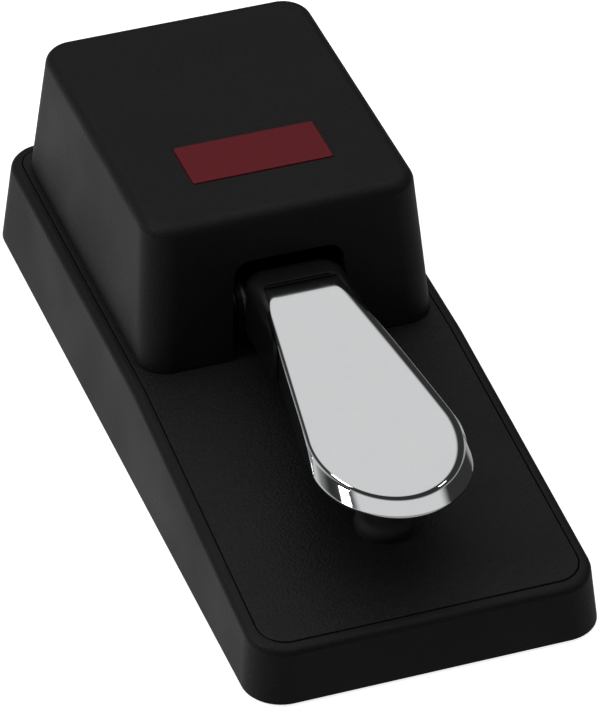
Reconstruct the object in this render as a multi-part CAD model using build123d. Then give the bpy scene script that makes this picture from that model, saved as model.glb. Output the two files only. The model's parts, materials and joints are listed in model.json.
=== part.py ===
from build123d import *
from math import radians, tan
import os

os.makedirs("parts", exist_ok=True)

# Sustain pedal.  Millimetres and degrees, +Z up, -Y is the player's side.
# The origin is on the floor, under the middle of the base.

# Base: a moulded shell with sloping walls, closed below by a steel plate and a rubber sole.
base_length = 240.0
base_width = 104.0
base_corner = 11.5
base_wall = 2.6
side_draft = 5.3
front_draft = 8.0
rear_draft = 6.0
rear_height = 28.7
front_height = 17.8
bend_inset = 4.7
bend_radius = 40.0
rim_width = 3.0
rim_fillet = 2.4
ledge_width = 3.0
ledge_thickness = 2.0
sole_proud = 1.0
sole_thickness = 2.0
plate_thickness = 3.0
plate_gap = 0.4
rib_thickness = 1.6
rib_gap = 0.5
side_rib_places = (-80.0, -50.0, -25.0, 30.0, 60.0, 85.0)
end_rib_places = (-26.0, 26.0)
sole_gap = 0.3
sole_edge = 0.5

# Deck: the textured plate let into the top of the base.
deck_thickness = 2.6
deck_raise = 0.3
deck_gap = 0.35
deck_edge = 0.35

# Housing: the cover over the pivot, with a mouth that the pedal arm comes out of.
housing_side_inset = 7.4
housing_front_y = -4.3
housing_rear_inset = 8.9
housing_height = 74.3
housing_corner = 9.0
housing_wall = 2.5
roof_thickness = 2.5
roof_fall = 1.3
roof_fillet = 3.8
roof_inner_fillet = 1.5
housing_side_draft = 4.8
housing_front_draft = 8.8
housing_rear_draft = 8.1
foot_gap = 0.4
mouth_half_width = 18.6
mouth_top_half_width = 16.3
mouth_top = 59.7
mouth_corner = 5.0
mouth_depth = 18.0
pillar_inset = 1.0
pillar_web_start = 6.0

# Badge: a plain plate let into the roof.
badge_width = 42.4
badge_length = 18.5
badge_thickness = 0.9
badge_depth = 0.5
badge_corner = 0.8
badge_inset = 35.3
badge_edge = 0.25
badge_gap = 0.12

# Pedal: a plated cap on a moulded arm.  Heights are above the floor with the pedal at rest.
cap_tip_inset = 12.0
cap_rear_y = -8.0
cap_tip_height = 51.4
cap_rear_height = 57.0
cap_crown = 1.0
cap_radius = 20.4
cap_round_length = 26.0
cap_taper = 7.8
cap_wall = 1.8
cap_roof = 2.0
cap_shoulder = 2.0
lip_half_width = 22.5
lip_round_length = 25.0
lip_taper = 8.8
lip_thickness = 1.3
lip_front_height = 46.5
lip_side_height = 52.4
lip_rear_height = 56.0
lip_step_inset = 32.0
lip_step_length = 7.5
lip_upper_bend = 7.0
lip_lower_bend = 1.5
cap_corner = 2.5
cap_smallest_corner = 0.6
cap_boss_radius = 3.5
cap_boss_height = 4.0
cap_boss_front_inset = 15.5
cap_boss_rear_insets = (44.0, 14.0)
seat_gap = 0.05
arm_inset = 1.0
arm_wall = 2.4
arm_web = 2.2
arm_bottom = 39.0
arm_bend_inset = 46.0
arm_bend_radius = 30.0
arm_front_gap = 0.6
arm_gap = 0.3
shroud_half_width = 14.6
shroud_front_y = -29.0
shroud_front_edge = 0.8
shroud_rear_y = 1.0
shroud_corner = 6.5
shroud_edge = 3.5
shroud_gap = 0.35
shroud_drop = 0.3

# Pivot: a steel axle in two ears of a folded bracket; the arm turns on two bushes.
pivot_y = 8.0
pivot_height = 41.0
pedal_travel = 10.5
axle_radius = 2.5
axle_end = 2.0
axle_edge = 0.4
running_clearance = 0.05
bush_wall = 1.0
bush_length = 8.0
bush_flange = 1.0
bush_flange_height = 1.45
hub_wall = 3.45
hub_bridge_overlap = 4.0
hub_bridge_below = 3.0
hub_bridge_above = 7.0
hub_half_length = 11.5
ear_gap = 0.4
bracket_thickness = 1.5
bracket_front_y = 2.0
bracket_rear_y = 26.0
ear_wall = 4.0
ear_foot_height = 4.0
ear_length = 18.0
clip_thickness = 0.6
clip_rim = 2.3
groove_depth = 0.5
clip_fit = 0.05
groove_width = 0.8
clip_gap = 0.1
clip_mouth = 1.6

# Tail: the arm behind the pivot, with the return spring on it and a felt pad under it.
tail_half_width = 8.0
tail_bottom = 38.5
tail_top = 46.0
tail_end = 6.0
tail_hollow_start = 5.0
tail_corner = 3.0
tail_wall = 2.4
tail_block = 13.0
spring_reach = 44.0
spring_radius = 5.2
spring_wire = 1.1
spring_turns = 6.0
spring_gap = 0.05
peg_radius = 3.4
peg_length = 4.0
spring_seat_radius = 7.5
spring_seat_height = 2.0
pad_radius = 5.5
pad_thickness = 3.0
pad_gap = 0.1
pedestal_radius = 7.0

# Front stop: a rubber button pressed through the deck, and the post that lands on it.
stop_inset = 29.0
stop_radius = 8.3
stop_height = 4.0
stop_edge = 3.0
stop_stem_radius = 3.0
stop_barb_radius = 3.9
stop_barb_tip_radius = 2.5
stop_barb_height = 2.0
stop_gap = 0.15
post_radius = 5.0
post_offset = 1.2

# Switch: a push switch on a board under the deck, worked by a nose behind the pivot.
nose_reach = 8.0
nose_radius = 3.0
nose_half_length = 4.0
nose_height = 32.6
plunger_radius = 2.0
plunger_collar_radius = 3.4
plunger_collar_height = 1.2
plunger_hole_radius = 2.8
plunger_dome = 1.2
nose_gap = 0.05
switch_size = 13.0
switch_height = 9.0
switch_corner = 0.6
switch_floor = 2.5
collar_room = 5.0
collar_gap = 0.3
plunger_drop = 0.6
board_width = 54.0
board_length = 30.0
board_thickness = 1.6
board_height = 9.2
board_y = 20.0
board_screw_x = 22.0
terminal_width = 10.0
terminal_length = 7.0
terminal_height = 8.0
terminal_x = -14.0
terminal_y = 28.0
terminal_hole = 1.4
terminal_entry_low = 1.0
terminal_entry_high = 4.0
terminal_screw_low = 5.0
selector_width = 10.0
selector_length = 5.6
selector_y = 12.0
selector_travel = 2.0
selector_knob = 2.4
selector_knob_drop = 3.4
selector_slot_gap = 0.4
selector_sole_margin = 1.0
selector_body_gap = 0.2
selector_side_gap = 0.1
selector_room = 2.2
selector_knob_rise = 2.0
selector_edge = 0.3

# Cable inlet: a rubber grommet in the rear wall.
inlet_height = 14.0
inlet_bore_radius = 2.6
grommet_neck_radius = 4.6
grommet_flange_radius = 6.6
grommet_flange = 1.4
grommet_seat_depth = 0.73
grommet_seat_gap = 0.2
grommet_pad_margin = 1.2
grommet_edge = 0.5
grommet_neck_length = 2.8

# Screws.
screw_core_radius = 1.3
screw_hole_clearance = 0.4
screw_head_overhang = 1.5
screw_boss_wall = 1.9
screw_head_gap = 0.3
screw_head_height = 1.8
screw_drive_width = 1.0
screw_drive_depth = 1.0
screw_drive_share = 0.62
screw_head_round = 0.45
case_screw_side_inset = 13.0
case_screw_end_inset = 17.0
case_head_overhang = 1.8
case_head_gap = 0.1
case_boss_wall = 2.5
case_screw_cover = 1.5
case_tip_gap = 0.5
sole_hole_margin = 1.1
case_screw_length = 14.0
housing_screw_side_inset = 10.6
housing_screw_front_inset = 15.3
housing_screw_rear_inset = 18.1
housing_boss_wall = 2.5
housing_screw_length = 12.0
bracket_screw_x = 8.5
bracket_screw_places = (5.6, 22.6)
bracket_screw_length = 8.0
bracket_boss_length = 5.0
cap_screw_gap = 0.3
cap_seat_depth = 0.5
board_screw_length = 7.0

# Working values for cutting and joining.
cut_extra = 1.0
joint_overlap = 0.5
boss_cover = 1.0
edge_tolerance = 0.4
standing = (Align.CENTER, Align.CENTER, Align.MIN)

# Sizes that follow from the ones above.
reach = base_length
bend_y = housing_front_y - bend_inset
housing_width = base_width - 2 * housing_side_inset
housing_rear_y = base_length / 2 - housing_rear_inset
badge_y = housing_front_y + badge_inset
cap_tip_y = -base_length / 2 + cap_tip_inset
cap_round_y = cap_tip_y + cap_round_length
lip_round_y = cap_tip_y + lip_round_length
lip_step_y = cap_tip_y + lip_step_inset
stop_y = cap_tip_y + stop_inset
arm_bend_y = cap_tip_y + arm_bend_inset
cap_boss_places = [cap_tip_y + cap_boss_front_inset] + [cap_rear_y - inset for inset in cap_boss_rear_insets]
plate_bottom = sole_thickness
plate_top = plate_bottom + plate_thickness
deck_top = rear_height + deck_raise
deck_under = deck_top - deck_thickness
front_top_y = -base_length / 2 + (front_height - sole_proud) * tan(radians(front_draft))
deck_slope = (rear_height - front_height) / (bend_y - front_top_y)
deck_angle = -Vector(1, deck_slope, 0).get_angle(Vector(1, 0, 0))
lip_tip_radius = lip_round_length
ear_inner_x = hub_half_length + bush_flange + ear_gap
ear_outer_x = ear_inner_x + bracket_thickness
axle_half_length = ear_outer_x + axle_end
bush_outer_radius = axle_radius + running_clearance + bush_wall
bush_flange_radius = bush_outer_radius + bush_flange_height
hub_radius = bush_outer_radius + hub_wall
ear_radius = axle_radius + ear_wall
groove_radius = axle_radius - groove_depth
clip_radius = axle_radius + clip_rim
spring_y = pivot_y + spring_reach
tail_end_y = spring_y + tail_end
screw_hole_radius = screw_core_radius + screw_hole_clearance
screw_head_radius = screw_core_radius + screw_head_overhang
screw_boss_radius = screw_core_radius + screw_boss_wall
case_head_radius = screw_core_radius + case_head_overhang
case_boss_radius = screw_core_radius + case_boss_wall
sole_hole_radius = case_head_radius + sole_hole_margin
housing_boss_radius = screw_core_radius + housing_boss_wall
case_screw_x = base_width / 2 - case_screw_side_inset
case_screw_end_y = base_length / 2 - case_screw_end_inset
case_screw_places = (-case_screw_end_y, 0.0, case_screw_end_y)
housing_screw_x = housing_width / 2 - housing_screw_side_inset
housing_screw_places = (
    housing_front_y + housing_screw_front_inset,
    housing_rear_y - housing_screw_rear_inset,
)
cap_screw_length = cap_boss_height + arm_web - cap_seat_depth - cap_screw_gap
nose_y = pivot_y + nose_reach
grommet_seat_y = base_length / 2 - (inlet_height - sole_proud) * tan(radians(rear_draft)) - grommet_seat_depth
bracket_top = deck_top + bracket_thickness
board_top = board_height + board_thickness


def deck_line(y):
    """Height of the rim at a place along the base."""
    return rear_height + min(0.0, y - bend_y) * deck_slope


def save(node, solid):
    """Write one node's solids and keep the node's name as the label."""
    solid.label = node
    export_step(solid, f"parts/{node}.step")


def drafted_block(section, inset, corner, low, high):
    """A block between two heights whose four walls slope; the section gives half width, front and rear."""
    wide_low, front_low, rear_low = section(low)
    wide_high, front_high, rear_high = section(high)
    side_view = make_face(Plane.YZ * Polyline(
        (front_low + inset, low), (front_high + inset, high),
        (rear_high - inset, high), (rear_low - inset, low),
        close=True,
    ))
    end_view = make_face(Plane.XZ * Polyline(
        (inset - wide_low, low), (inset - wide_high, high),
        (wide_high - inset, high), (wide_low - inset, low),
        close=True,
    ))
    along = Pos(-reach / 2, 0, 0) * extrude(side_view, reach, dir=(1, 0, 0))
    across = Pos(0, -reach, 0) * extrude(end_view, 2 * reach, dir=(0, 1, 0))
    solid = along & across
    corners = [edge for edge in solid.edges() if abs(edge.center().Z - (low + high) / 2) < 0.01]
    return fillet(corners, corner)


def base_section(height):
    rise = height - sole_proud
    half_width = base_width / 2 - rise * tan(radians(side_draft))
    front = -base_length / 2 + rise * tan(radians(front_draft))
    rear = base_length / 2 - rise * tan(radians(rear_draft))
    return half_width, front, rear


def base_block(inset, low, high):
    return drafted_block(base_section, inset, max(base_corner - inset, 2.0), low, high)


def under_deck_line(drop):
    """Everything below the bent top of the base, lowered by the drop."""
    far = -reach
    points = [(far, -reach), (far, deck_line(far)), (bend_y, rear_height), (reach, rear_height),
              (reach, -reach)]
    face = make_face(Plane.YZ * Polyline(*points, close=True))
    bend = face.vertices().sort_by_distance((0, bend_y, rear_height))[0]
    face = fillet(bend, bend_radius)
    return Pos(-reach / 2, 0, -drop) * extrude(face, reach, dir=(1, 0, 0))


def housing_section(height):
    rise = height - deck_top
    half_width = housing_width / 2 - rise * tan(radians(housing_side_draft))
    front = housing_front_y + rise * tan(radians(housing_front_draft))
    rear = housing_rear_y - rise * tan(radians(housing_rear_draft))
    return half_width, front, rear


def roof_line(y):
    """Height of the roof, which falls slightly towards the rear."""
    return housing_height - roof_fall * (y - housing_front_y) / (housing_rear_y - housing_front_y)


def under_roof_line(drop):
    points = [(-reach, -reach), (-reach, roof_line(-reach)), (reach, roof_line(reach)), (reach, -reach)]
    face = make_face(Plane.YZ * Polyline(*points, close=True))
    return Pos(-reach / 2, 0, -drop) * extrude(face, reach, dir=(1, 0, 0))


def housing_block(inset, low, drop):
    solid = drafted_block(housing_section, inset, housing_corner - inset, low, housing_height + 1)
    return solid & under_roof_line(drop)


def teardrop(half_width, tip_radius, round_y, taper, growth):
    """Plan of the pedal: a round nose on two sides that taper to the rear, grown or shrunk by an offset."""
    wide = half_width + growth
    long = tip_radius + growth
    rear_y = cap_rear_y + growth
    slope = tan(radians(taper))
    turn = Vector(wide, long * slope, 0)
    touch_x = wide * wide / turn.length
    touch_y = round_y + long * long * slope / turn.length
    rear_x = touch_x - (rear_y - touch_y) * slope
    nose = Pos(0, round_y) * Ellipse(wide, long)
    sides = make_face(
        Polyline((touch_x, touch_y), (rear_x, rear_y), (-rear_x, rear_y), (-touch_x, touch_y), close=True)
    )
    corners = sides.vertices().group_by(Axis.Y)[-1]
    return nose + fillet(corners, max(cap_corner + growth, cap_smallest_corner))


def cap_plan(growth):
    return teardrop(cap_radius, cap_radius, cap_round_y, cap_taper, growth)


def lip_plan(growth):
    return teardrop(lip_half_width, lip_tip_radius, lip_round_y, lip_taper, growth)


def column(plan):
    """A plan stretched upwards through the whole pedal."""
    return extrude(plan, 2 * housing_height, dir=(0, 0, 1))


def under_cap_line(drop):
    """Everything below the crowned top of the cap, lowered by the drop."""
    middle_y = (cap_tip_y + cap_rear_y) / 2
    middle_height = (cap_tip_height + cap_rear_height) / 2 + cap_crown
    tip = (cap_tip_y, cap_tip_height)
    crown = ThreePointArc(tip, (middle_y, middle_height), (cap_rear_y, cap_rear_height))
    rear_slope = crown % 1
    front_slope = crown % 0
    rear = (cap_rear_y + reach, cap_rear_height + reach * rear_slope.Y / rear_slope.X)
    front = (cap_tip_y - reach, cap_tip_height - reach * front_slope.Y / front_slope.X)
    rest = Polyline((cap_rear_y, cap_rear_height), rear, (rear[0], -reach), (front[0], -reach), front,
                    tip)
    face = Plane.YZ * make_face(crown + rest)
    return Pos(-reach / 2, 0, -drop) * extrude(face, reach, dir=(1, 0, 0))


def under_lip_line(drop):
    """Everything below the cap's lip: level round the nose, then a step up to the long sides."""
    step_front_y = lip_step_y - lip_step_length
    side_slope = (lip_rear_height - lip_side_height) / (cap_rear_y - lip_step_y)
    far_height = lip_rear_height + (reach - cap_rear_y) * side_slope
    points = [(-reach, -reach), (-reach, lip_front_height), (step_front_y, lip_front_height),
              (lip_step_y, lip_side_height), (reach, far_height), (reach, -reach)]
    face = make_face(Plane.YZ * Polyline(*points, close=True))
    top_bend = face.vertices().sort_by_distance((0, lip_step_y, lip_side_height))[0]
    face = fillet(top_bend, lip_upper_bend)
    low_bend = face.vertices().sort_by_distance((0, step_front_y, lip_front_height))[0]
    face = fillet(low_bend, lip_lower_bend)
    return Pos(-reach / 2, 0, -drop) * extrude(face, reach, dir=(1, 0, 0))


def block(x_low, x_high, y_low, y_high, z_low, z_high):
    """A box between two corners."""
    size = (x_high - x_low, y_high - y_low, z_high - z_low)
    centre = ((x_low + x_high) / 2, (y_low + y_high) / 2, (z_low + z_high) / 2)
    return Pos(*centre) * Box(*size)


def post(x, y, low, high, radius):
    """An upright round post between two heights."""
    return Pos(x, y, low) * Cylinder(radius, high - low, align=standing)


def cross_rod(x_low, x_high, y, height, radius):
    """A round rod along X between two places."""
    rod = Cylinder(radius, x_high - x_low, align=standing)
    return Pos(x_low, y, height) * Rot(0, 90, 0) * rod


def screw(length, head_radius=screw_head_radius):
    """A pan-head screw with its head below and its tip up, the head's bearing face at the origin."""
    head = post(0, 0, -screw_head_height, 0, head_radius)
    rim = head.edges().group_by(Axis.Z)[0]
    head = fillet(rim, screw_head_height * screw_head_round)
    shank = post(0, 0, 0, length, screw_core_radius)
    tip = shank.edges().group_by(Axis.Z)[-1]
    shank = chamfer(tip, screw_core_radius / 2)
    low = -screw_head_height
    arm = head_radius * screw_drive_share
    bar = block(-arm, arm, -screw_drive_width / 2, screw_drive_width / 2, low, low + screw_drive_depth)
    return head + shank - bar - Rot(0, 0, 90) * bar


def case_places():
    return [(side * case_screw_x, y) for side in (-1, 1) for y in case_screw_places]


def housing_places():
    return [(side * housing_screw_x, y) for side in (-1, 1) for y in housing_screw_places]


def bracket_places():
    return [(side * bracket_screw_x, y) for side in (-1, 1) for y in bracket_screw_places]


def case_screw_depth(y):
    """How far a case screw goes into its boss under the deck, which is lower towards the front."""
    return min(case_screw_length, deck_line(y) - plate_top - case_screw_cover)


def board_places():
    return [(side * board_screw_x, board_y) for side in (-1, 1)]


def make_base_shell():
    outer = base_block(0, sole_proud, housing_height) & under_deck_line(0)
    rim = []
    for edge in outer.edges():
        centre = edge.center()
        on_top = abs(deck_line(centre.Y) - centre.Z) < edge_tolerance
        crosses = abs(centre.X) < rib_gap and abs(centre.Y) < base_length / 2 - base_corner
        if on_top and not crosses:
            rim.append(edge)
    outer = fillet(rim, rim_fillet)
    seat_drop = deck_thickness - deck_raise
    cavity = base_block(base_wall, 0, housing_height) & under_deck_line(seat_drop + ledge_thickness)
    pocket = base_block(rim_width, 0, housing_height) - under_deck_line(seat_drop)
    opening = base_block(rim_width + ledge_width, 0, housing_height)
    shell = outer - cavity - pocket - opening
    ribs = Part()
    rib_depth = rim_width + ledge_width
    for y in side_rib_places:
        ribs += block(-base_width / 2, base_width / 2, y, y + rib_thickness, plate_top, housing_height)
    for x in end_rib_places:
        ribs += block(x, x + rib_thickness, -base_length / 2, base_length / 2, plate_top, housing_height)
    ribs &= base_block(base_wall / 2, 0, housing_height) & under_deck_line(seat_drop + rib_gap)
    ribs -= base_block(rib_depth, 0, housing_height)
    shell += ribs
    pad_y = grommet_seat_y - grommet_neck_length
    pad = Pos(0, pad_y, inlet_height) * Rot(-90, 0, 0) * Cylinder(
        grommet_flange_radius + grommet_pad_margin, grommet_neck_length, align=standing
    )
    shell += pad
    seat = Pos(0, grommet_seat_y, inlet_height) * Rot(-90, 0, 0) * Cylinder(
        grommet_flange_radius + grommet_seat_gap, 4 * base_wall, align=standing
    )
    hole = Pos(0, pad_y, inlet_height) * Rot(-90, 0, 0) * Cylinder(grommet_neck_radius, 8 * base_wall)
    return shell - seat - hole


def make_grommet():
    neck_start = grommet_seat_y - grommet_neck_length
    profile = [
        (inlet_bore_radius, neck_start - grommet_flange),
        (grommet_flange_radius - grommet_edge, neck_start - grommet_flange),
        (grommet_flange_radius, neck_start),
        (grommet_neck_radius, neck_start),
        (grommet_neck_radius, grommet_seat_y),
        (grommet_flange_radius, grommet_seat_y),
        (grommet_flange_radius - grommet_edge, grommet_seat_y + grommet_flange),
        (inlet_bore_radius, grommet_seat_y + grommet_flange),
    ]
    face = make_face(Polyline(*profile, close=True))
    ring = revolve(face, Axis.Y)
    return Pos(0, 0, inlet_height) * ring


def make_deck():
    plan = rim_width + deck_gap
    plate = base_block(plan, 0, housing_height) & under_deck_line(-deck_raise)
    top_edges = []
    for edge in plate.edges():
        centre = edge.center()
        on_top = abs(deck_line(centre.Y) + deck_raise - centre.Z) < edge_tolerance
        crosses = abs(centre.X) < rib_gap and abs(centre.Y) < base_length / 2 - base_corner
        if on_top and not crosses:
            top_edges.append(edge)
    plate = fillet(top_edges, deck_edge)
    plate -= under_deck_line(deck_thickness - deck_raise)
    bosses = Part()
    for x, y in case_places():
        bosses += post(x, y, plate_top, rear_height, case_boss_radius)
    for x, y in bracket_places():
        bosses += post(x, y, deck_under - bracket_boss_length, deck_top - joint_overlap, screw_boss_radius)
    for x, y in board_places():
        bosses += post(x, y, board_top, deck_top - joint_overlap, screw_boss_radius)
    bosses &= under_deck_line(boss_cover)
    plate += bosses
    pad_low = tail_bottom - pad_gap - pad_thickness
    plate += post(0, spring_y, deck_top - joint_overlap, pad_low, pedestal_radius)
    for x, y in case_places():
        depth = case_screw_depth(y)
        plate -= post(x, y, plate_top, plate_top + depth, screw_core_radius)
    for x, y in housing_places():
        plate -= post(x, y, deck_under - cut_extra, deck_top + cut_extra, screw_hole_radius)
    for x, y in bracket_places():
        plate -= post(x, y, deck_under - bracket_boss_length, deck_top + cut_extra, screw_core_radius)
    for x, y in board_places():
        plate -= post(x, y, board_top, board_top + board_screw_length, screw_core_radius)
    plate -= post(0, nose_y, deck_under - cut_extra, deck_top + cut_extra, plunger_hole_radius)
    stem = deck_frame(stop_y) * Cylinder(stop_stem_radius, 4 * deck_thickness)
    return plate - stem


def deck_frame(y):
    """A frame on the deck's upper face, tilted with it."""
    tilt = deck_angle if y < bend_y else 0.0
    return Pos(0, y, deck_line(y) + deck_raise) * Rot(-tilt, 0, 0)


def make_front_stop():
    """A rubber button with a stem through the deck and a barb under it."""
    button = post(0, 0, 0, stop_height, stop_radius)
    button = fillet(button.edges().group_by(Axis.Z)[-1], stop_edge)
    stem = post(0, 0, -deck_thickness, 0, stop_stem_radius)
    barb = Pos(0, 0, -deck_thickness - stop_barb_height) * Cone(
        stop_barb_tip_radius, stop_barb_radius, stop_barb_height, align=standing
    )
    return deck_frame(stop_y) * (button + stem + barb)


def make_bottom_plate():
    plate = base_block(base_wall + plate_gap, plate_bottom, plate_top)
    plate -= selector_slot(plate_bottom, plate_top)
    for x, y in case_places():
        plate -= post(x, y, plate_bottom, plate_top, screw_hole_radius)
        cone_radius = case_head_radius + case_head_gap
        cone = Cone(cone_radius, screw_hole_radius, cone_radius - screw_hole_radius,
                    align=standing)
        plate -= Pos(x, y, plate_bottom) * cone
    return plate


def make_sole():
    sole = base_block(base_wall + plate_gap + sole_gap, 0, sole_thickness)
    sole = chamfer(sole.edges().group_by(Axis.Z)[0], sole_edge)
    for x, y in case_places():
        sole -= post(x, y, 0, sole_thickness, sole_hole_radius)
    sole -= selector_slot(0, sole_thickness, selector_sole_margin)
    return sole


def selector_slot(low, high, extra=0.0):
    """The slot that the selector's knob slides in."""
    side = selector_knob / 2 + selector_slot_gap + extra
    return block(-side, side + selector_travel, selector_y - side, selector_y + side, low, high)


def make_case_screws():
    screws = []
    for x, y in case_places():
        length = case_screw_depth(y) + plate_thickness - case_tip_gap
        head_height = case_head_radius - screw_core_radius
        head = Cone(case_head_radius, screw_core_radius, head_height, align=standing)
        shank = post(0, 0, head_height, length, screw_core_radius)
        arm = case_head_radius * screw_drive_share
        bar = block(-arm, arm, -screw_drive_width / 2, screw_drive_width / 2, 0, screw_drive_depth)
        screws.append(Pos(x, y, plate_bottom) * (head + shank - bar - Rot(0, 0, 90) * bar))
    return Compound(children=screws)


def make_housing_cover():
    cover = housing_block(0, deck_top + foot_gap, 0)
    roof_edges = []
    for edge in cover.edges():
        centre = edge.center()
        if abs(roof_line(centre.Y) - centre.Z) < edge_tolerance:
            roof_edges.append(edge)
    cover = fillet(roof_edges, roof_fillet)
    inside = housing_block(housing_wall, 0, roof_thickness)
    inside_edges = []
    for edge in inside.edges():
        centre = edge.center()
        if abs(roof_line(centre.Y) - roof_thickness - centre.Z) < edge_tolerance:
            inside_edges.append(edge)
    inside = fillet(inside_edges, roof_inner_fillet)
    pillars = Part()
    for x, y in housing_places():
        pillars += post(x, y, deck_top, housing_height - roof_thickness, housing_boss_radius)
        pillars += block(min(x, 2 * x), max(x, 2 * x), y - rib_thickness / 2, y + rib_thickness / 2,
                         deck_top + pillar_web_start, housing_height - roof_thickness)
    pillars &= housing_block(pillar_inset, deck_top, roof_thickness / 2)
    seat_top = roof_line(spring_y) - roof_thickness
    spring_seat = post(0, spring_y, seat_top - spring_seat_height, housing_height, spring_seat_radius)
    spring_seat += post(0, spring_y, seat_top - spring_seat_height - peg_length, housing_height, peg_radius)
    spring_seat &= under_roof_line(boss_cover)
    cover = cover - inside + pillars + spring_seat
    for x, y in housing_places():
        cover -= post(x, y, deck_top, deck_top + housing_screw_length, screw_core_radius)
    mouth = make_face(Plane.XZ * Polyline(
        (-mouth_half_width, deck_top - cut_extra),
        (-mouth_top_half_width, mouth_top),
        (mouth_top_half_width, mouth_top),
        (mouth_half_width, deck_top - cut_extra),
        close=True,
    ))
    corners = mouth.vertices().group_by(Axis.Z)[-1]
    mouth = fillet(corners, mouth_corner)
    depth = housing_front_y - housing_wall
    cutter = Pos(0, depth, 0) * extrude(mouth, mouth_depth, dir=(0, 1, 0))
    cover -= cutter
    return cover - badge_block(badge_gap, badge_depth, cut_extra)


def roof_frame(y):
    """A frame on the roof's upper face, tilted with it."""
    tilt = Vector(1, roof_line(1) - roof_line(0), 0).get_angle(Vector(1, 0, 0))
    return Pos(0, y, roof_line(y)) * Rot(-tilt, 0, 0)


def badge_block(growth, depth, rise):
    """The badge's plan, from the floor of its recess up to a height above the roof."""
    plan = RectangleRounded(badge_width + 2 * growth, badge_length + 2 * growth, badge_corner + growth)
    return roof_frame(badge_y) * (Pos(0, 0, -depth) * extrude(plan, depth + rise))


def make_badge():
    badge = badge_block(0, badge_depth, badge_thickness - badge_depth)
    upper = badge.faces().sort_by(Axis.Z)[-1]
    return fillet(upper.edges(), badge_edge)


def make_cap():
    body = column(cap_plan(0)) & under_cap_line(0)
    crown_edges = []
    for edge in body.edges():
        if edge.center().Z > cap_tip_height - cap_shoulder:
            crown_edges.append(edge)
    body = fillet(crown_edges, cap_shoulder)
    body -= under_lip_line(0)
    lip = column(lip_plan(0)) & under_lip_line(-lip_thickness)
    lip -= under_lip_line(0)
    lip &= block(-reach, reach, -reach, shroud_front_y - shroud_gap, -reach, reach)
    hollow = column(cap_plan(-cap_wall)) & under_cap_line(cap_roof)
    cap = body + lip - hollow
    for y in cap_boss_places:
        top = cap_height(y) - cap_roof
        boss = post(0, y, 0, top + cap_roof / 2, cap_boss_radius)
        cap += boss - under_cap_line(cap_roof + cap_boss_height)
        cap -= post(0, y, top - cap_boss_height - cut_extra, top, screw_core_radius)
    return cap


def cap_height(y):
    """Height of the crowned top of the cap at a place along it."""
    share = (y - cap_tip_y) / (cap_rear_y - cap_tip_y)
    chord = cap_tip_height + share * (cap_rear_height - cap_tip_height)
    return chord + 4 * cap_crown * share * (1 - share)


def under_arm_line():
    """Everything below the arm's lower edge: level from the mouth, then rising to the lip's step."""
    front_y = lip_step_y - lip_step_length
    points = [(-reach, -reach), (-reach, lip_front_height), (front_y, lip_front_height),
              (arm_bend_y, arm_bottom), (reach, arm_bottom), (reach, -reach)]
    face = make_face(Plane.YZ * Polyline(*points, close=True))
    bend = face.vertices().sort_by_distance((0, arm_bend_y, arm_bottom))[0]
    face = fillet(bend, arm_bend_radius)
    return Pos(-reach / 2, 0, 0) * extrude(face, reach, dir=(1, 0, 0))


def make_arm():
    web_top = cap_roof + cap_boss_height
    kink = lip_step_y - lip_step_length
    behind_kink = block(-reach, reach, kink + arm_front_gap, reach, -reach, reach)
    tub = column(lip_plan(-arm_inset)) & under_lip_line(seat_gap) & behind_kink
    tub -= column(cap_plan(-cap_wall - arm_gap)) - under_cap_line(web_top)
    web = column(cap_plan(-cap_wall - arm_gap)) & under_cap_line(web_top)
    front = block(-shroud_half_width, shroud_half_width, shroud_front_y, shroud_rear_y, 0, 2 * housing_height)
    rear_corners = front.edges().filter_by(Axis.Z).group_by(Axis.Y)[-1]
    front = fillet(rear_corners, shroud_corner)
    front_corners = front.edges().filter_by(Axis.Z).group_by(Axis.Y)[0]
    front = chamfer(front_corners, shroud_front_edge)
    shroud = front & under_cap_line(shroud_drop)
    ridge = []
    for edge in shroud.edges():
        centre = edge.center()
        if centre.Z > cap_rear_height - shroud_edge and centre.Y > shroud_front_y + cut_extra:
            ridge.append(edge)
    shroud = fillet(ridge, shroud_edge)
    room = column(cap_plan(shroud_gap)) - under_lip_line(seat_gap)
    well = column(cap_plan(-cap_wall - arm_gap)) - under_cap_line(web_top)
    shroud = shroud - room - well
    arm = tub + web + shroud
    arm -= under_arm_line()
    channel = column(lip_plan(-arm_inset - arm_wall)) & under_cap_line(web_top + arm_web)
    channel &= block(-reach, reach, -reach, cap_rear_y, -reach, reach)
    arm -= channel
    arm += cross_rod(-hub_half_length, hub_half_length, pivot_y, pivot_height, hub_radius)
    arm += block(-hub_half_length, hub_half_length, shroud_rear_y - hub_bridge_overlap, pivot_y,
                 pivot_height - hub_bridge_below, pivot_height + hub_bridge_above)
    tail = block(-tail_half_width, tail_half_width, pivot_y, tail_end_y, tail_bottom, tail_top)
    hollow_half_width = tail_half_width - tail_wall
    hollow_front_y = pivot_y + hub_radius + tail_hollow_start
    tail -= block(-hollow_half_width, hollow_half_width, hollow_front_y, tail_end_y - tail_block,
                  0, tail_top - tail_wall)
    arm += fillet(tail.edges().filter_by(Axis.Z).group_by(Axis.Y)[-1], tail_corner)
    arm += post(0, spring_y, tail_top - joint_overlap, tail_top + peg_length, peg_radius)
    nose_axis = nose_height + nose_radius
    arm += cross_rod(-nose_half_length, nose_half_length, nose_y, nose_axis, nose_radius)
    arm += block(-nose_half_length, nose_half_length, nose_y - nose_radius, nose_y + nose_radius,
                 nose_axis, tail_bottom + joint_overlap)
    arm += landing_post()
    arm -= cross_rod(-hub_half_length - cut_extra, hub_half_length + cut_extra, pivot_y, pivot_height,
                     bush_outer_radius)
    for y in cap_boss_places:
        arm -= post(0, y, arm_bottom, cap_height(y), screw_hole_radius)
        arm -= post(0, y, arm_bottom, cap_screw_seat(y), screw_head_radius + screw_head_gap)
    return arm


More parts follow.
